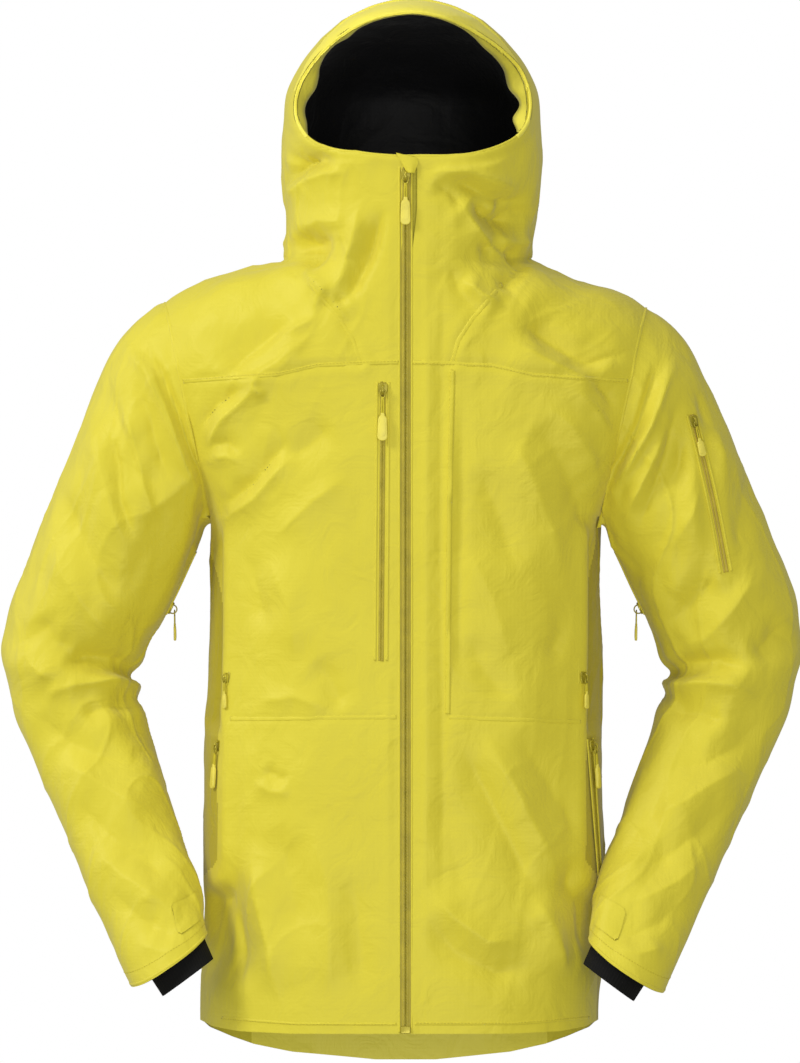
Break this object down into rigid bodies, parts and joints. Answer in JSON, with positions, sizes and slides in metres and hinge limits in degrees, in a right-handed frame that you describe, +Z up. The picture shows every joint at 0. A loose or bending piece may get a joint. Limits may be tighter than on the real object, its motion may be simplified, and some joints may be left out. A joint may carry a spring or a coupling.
{
  "type": "ski jacket",
  "caption": "Hooded ski shell jacket with a full front zip, pocket and vent zips with pulls, articulated sleeves with cuff tabs and wrist gaiters, and a drop-tail hem.",
  "frame": {"origin": "middle of the underside of the hang loop, inside the back of the neck, where a hook carries the jacket", "axes": "+Z up, -Y out of the front of the jacket, +X towards the wearer's left"},
  "size_m": [0.798, 0.287, 1.0617],
  "materials": {
    "shell_cloth": "matt woven shell laminate, yellow-green",
    "brim_cloth": "matt woven shell laminate, lighter",
    "zip_tape": "coated zip tape and coil, olive",
    "zip_metal": "satin painted",
    "pull_plastic": "soft moulded",
    "lining": "black, smooth",
    "gaiter_knit": "black stretch knit"
  },
  "bodies": {
    "jacket": {"front_panel_right": "shell_cloth", "side_panel_right": "shell_cloth", "yoke_right": "shell_cloth", "front_panel_left": "shell_cloth", "side_panel_left": "shell_cloth", "yoke_left": "shell_cloth", "back_panel": "shell_cloth", "collar": "shell_cloth", "hood_band": "shell_cloth", "chest_pocket_bag": "lining", "wind_flap": "shell_cloth", "hand_pocket_bag_right": "lining", "hand_pocket_bag_left": "lining", "powder_skirt": "lining", "hang_loop": "zip_tape", "main_zip_right": "zip_tape", "main_zip_left": "zip_tape", "main_zip_box": "zip_metal", "zip_garage": "shell_cloth", "chest_zip": "zip_tape", "hand_zip_right": "zip_tape", "side_zip_right": "zip_tape", "hand_zip_left": "zip_tape", "side_zip_left": "zip_tape", "sleeve_head_right": "shell_cloth", "sleeve_head_left": "shell_cloth"},
    "hood": {"hood_crown": "shell_cloth", "hood_brim": "brim_cloth", "hood_lining": "lining"},
    "upper_arm_right": {"pit_zip_right": "zip_tape", "sleeve_upper_right": "shell_cloth"},
    "forearm_right": {"sleeve_elbow_right": "shell_cloth", "sleeve_lower_right": "shell_cloth", "gaiter_right": "gaiter_knit"},
    "cuff_tab_right": {"cuff_tab_right": "shell_cloth"},
    "upper_arm_left": {"arm_zip": "zip_tape", "pit_zip_left": "zip_tape", "sleeve_upper_left": "shell_cloth"},
    "forearm_left": {"sleeve_elbow_left": "shell_cloth", "sleeve_lower_left": "shell_cloth", "gaiter_left": "gaiter_knit"},
    "cuff_tab_left": {"cuff_tab_left": "shell_cloth"},
    "main_zip_slider": {"main_zip_slider": "zip_metal"},
    "main_zip_pull": {"main_zip_pull": "pull_plastic"},
    "chest_zip_slider": {"chest_zip_slider": "zip_metal"},
    "chest_zip_pull": {"chest_zip_pull": "pull_plastic"},
    "arm_zip_slider": {"arm_zip_slider": "zip_metal"},
    "arm_zip_pull": {"arm_zip_pull": "pull_plastic"},
    "hand_zip_right_slider": {"hand_zip_right_slider": "zip_metal"},
    "hand_zip_right_pull": {"hand_zip_right_pull": "pull_plastic"},
    "side_zip_right_slider": {"side_zip_right_slider": "zip_metal"},
    "side_zip_right_pull": {"side_zip_right_pull": "pull_plastic"},
    "pit_zip_right_slider": {"pit_zip_right_slider": "zip_metal"},
    "pit_zip_right_pull": {"pit_zip_right_pull": "pull_plastic"},
    "hand_zip_left_slider": {"hand_zip_left_slider": "zip_metal"},
    "hand_zip_left_pull": {"hand_zip_left_pull": "pull_plastic"},
    "side_zip_left_slider": {"side_zip_left_slider": "zip_metal"},
    "side_zip_left_pull": {"side_zip_left_pull": "pull_plastic"},
    "pit_zip_left_slider": {"pit_zip_left_slider": "zip_metal"},
    "pit_zip_left_pull": {"pit_zip_left_pull": "pull_plastic"}
  },
  "joints": [
    {"name": "hood_tilt", "type": "hinge", "parent": "jacket", "child": "hood", "pos_m": [0.007, -0.104, 0.068], "axis": [-1, 0, 0], "range_deg": [0, 18], "deforming": ["hood_band"]},
    {"name": "shoulder_right", "type": "hinge", "parent": "jacket", "child": "upper_arm_right", "pos_m": [-0.217, -0.069, -0.161], "axis": [0, 1, 0], "range_deg": [0, 45], "deforming": ["sleeve_head_right"]},
    {"name": "elbow_right", "type": "hinge", "parent": "upper_arm_right", "child": "forearm_right", "pos_m": [-0.328, -0.052, -0.412], "axis": [-1, 0, 0], "range_deg": [0, 50], "deforming": ["sleeve_elbow_right"]},
    {"name": "shoulder_left", "type": "hinge", "parent": "jacket", "child": "upper_arm_left", "pos_m": [0.217, -0.069, -0.161], "axis": [0, -1, 0], "range_deg": [0, 45], "deforming": ["sleeve_head_left"]},
    {"name": "elbow_left", "type": "hinge", "parent": "upper_arm_left", "child": "forearm_left", "pos_m": [0.328, -0.052, -0.412], "axis": [-1, 0, 0], "range_deg": [0, 50], "deforming": ["sleeve_elbow_left"]},
    {"name": "main_zip_slide", "type": "slide", "parent": "jacket", "child": "main_zip_slider", "axis": [0, -0.0297, -0.9996], "range_m": [0, 0.8394]},
    {"name": "main_zip_pull_swing", "type": "hinge", "parent": "main_zip_slider", "child": "main_zip_pull", "pos_m": [0, -0.19237, 0.07217], "axis": [-1, 0, 0], "range_deg": [0, 160]},
    {"name": "chest_zip_slide", "type": "slide", "parent": "jacket", "child": "chest_zip_slider", "axis": [-0.0072, -0.0295, -0.9995], "range_m": [0, 0.2631]},
    {"name": "chest_zip_pull_swing", "type": "hinge", "parent": "chest_zip_slider", "child": "chest_zip_pull", "pos_m": [-0.02267, -0.19856, -0.14083], "axis": [-0.9998, 0.0191, 0.0067], "range_deg": [0, 160]},
    {"name": "arm_zip_slide", "type": "slide", "parent": "upper_arm_left", "child": "arm_zip_slider", "axis": [0.2153, 0.0053, -0.9765], "range_m": [0, 0.1473]},
    {"name": "arm_zip_pull_swing", "type": "hinge", "parent": "arm_zip_slider", "child": "arm_zip_pull", "pos_m": [0.28948, -0.13238, -0.17207], "axis": [-0.8755, -0.442, -0.1954], "range_deg": [0, 160]},
    {"name": "hand_zip_right_slide", "type": "slide", "parent": "jacket", "child": "hand_zip_right_slider", "axis": [-0.0728, 0.1156, -0.9906], "range_m": [0, 0.1233]},
    {"name": "hand_zip_right_pull_swing", "type": "hinge", "parent": "hand_zip_right_slider", "child": "hand_zip_right_pull", "pos_m": [-0.18982, -0.14202, -0.49582], "axis": [-0.4065, 0.9036, 0.1353], "range_deg": [0, 160]},
    {"name": "side_zip_right_slide", "type": "slide", "parent": "jacket", "child": "side_zip_right_slider", "axis": [0, 0.0412, 0.9992], "range_m": [0, 0.1231]},
    {"name": "side_zip_right_pull_swing", "type": "hinge", "parent": "side_zip_right_slider", "child": "side_zip_right_pull", "pos_m": [-0.18056, -0.15269, -0.42786], "axis": [-0.6081, 0.7932, -0.0327], "range_deg": [0, 160]},
    {"name": "pit_zip_right_slide", "type": "slide", "parent": "upper_arm_right", "child": "pit_zip_right_slider", "axis": [0.4252, -0.1422, 0.8939], "range_m": [0, 0.0549]},
    {"name": "pit_zip_right_pull_swing", "type": "hinge", "parent": "pit_zip_right_slider", "child": "pit_zip_right_pull", "pos_m": [-0.23106, -0.05807, -0.36071], "axis": [-0.0636, -0.9898, -0.1272], "range_deg": [-26, 90]},
    {"name": "hand_zip_left_slide", "type": "slide", "parent": "jacket", "child": "hand_zip_left_slider", "axis": [0.0728, 0.1156, -0.9906], "range_m": [0, 0.1233]},
    {"name": "hand_zip_left_pull_swing", "type": "hinge", "parent": "hand_zip_left_slider", "child": "hand_zip_left_pull", "pos_m": [0.18982, -0.14202, -0.49582], "axis": [-0.4065, -0.9036, -0.1353], "range_deg": [0, 160]},
    {"name": "side_zip_left_slide", "type": "slide", "parent": "jacket", "child": "side_zip_left_slider", "axis": [0, 0.0412, 0.9992], "range_m": [0, 0.1231]},
    {"name": "side_zip_left_pull_swing", "type": "hinge", "parent": "side_zip_left_slider", "child": "side_zip_left_pull", "pos_m": [0.18056, -0.15269, -0.42786], "axis": [-0.6081, -0.7932, 0.0327], "range_deg": [0, 160]},
    {"name": "pit_zip_left_slide", "type": "slide", "parent": "upper_arm_left", "child": "pit_zip_left_slider", "axis": [-0.4252, -0.1422, 0.8939], "range_m": [0, 0.0549]},
    {"name": "pit_zip_left_pull_swing", "type": "hinge", "parent": "pit_zip_left_slider", "child": "pit_zip_left_pull", "pos_m": [0.23106, -0.05807, -0.36071], "axis": [-0.0636, 0.9898, 0.1272], "range_deg": [-26, 90]},
    {"name": "cuff_tab_right_peel", "type": "hinge", "parent": "forearm_right", "child": "cuff_tab_right", "pos_m": [-0.22495, -0.19395, -0.663], "axis": [0.2539, -0.4252, -0.8688], "range_deg": [0, 100]},
    {"name": "cuff_tab_left_peel", "type": "hinge", "parent": "forearm_left", "child": "cuff_tab_left", "pos_m": [0.22495, -0.19395, -0.663], "axis": [0.2539, 0.4252, 0.8688], "range_deg": [0, 100]}
  ]
}
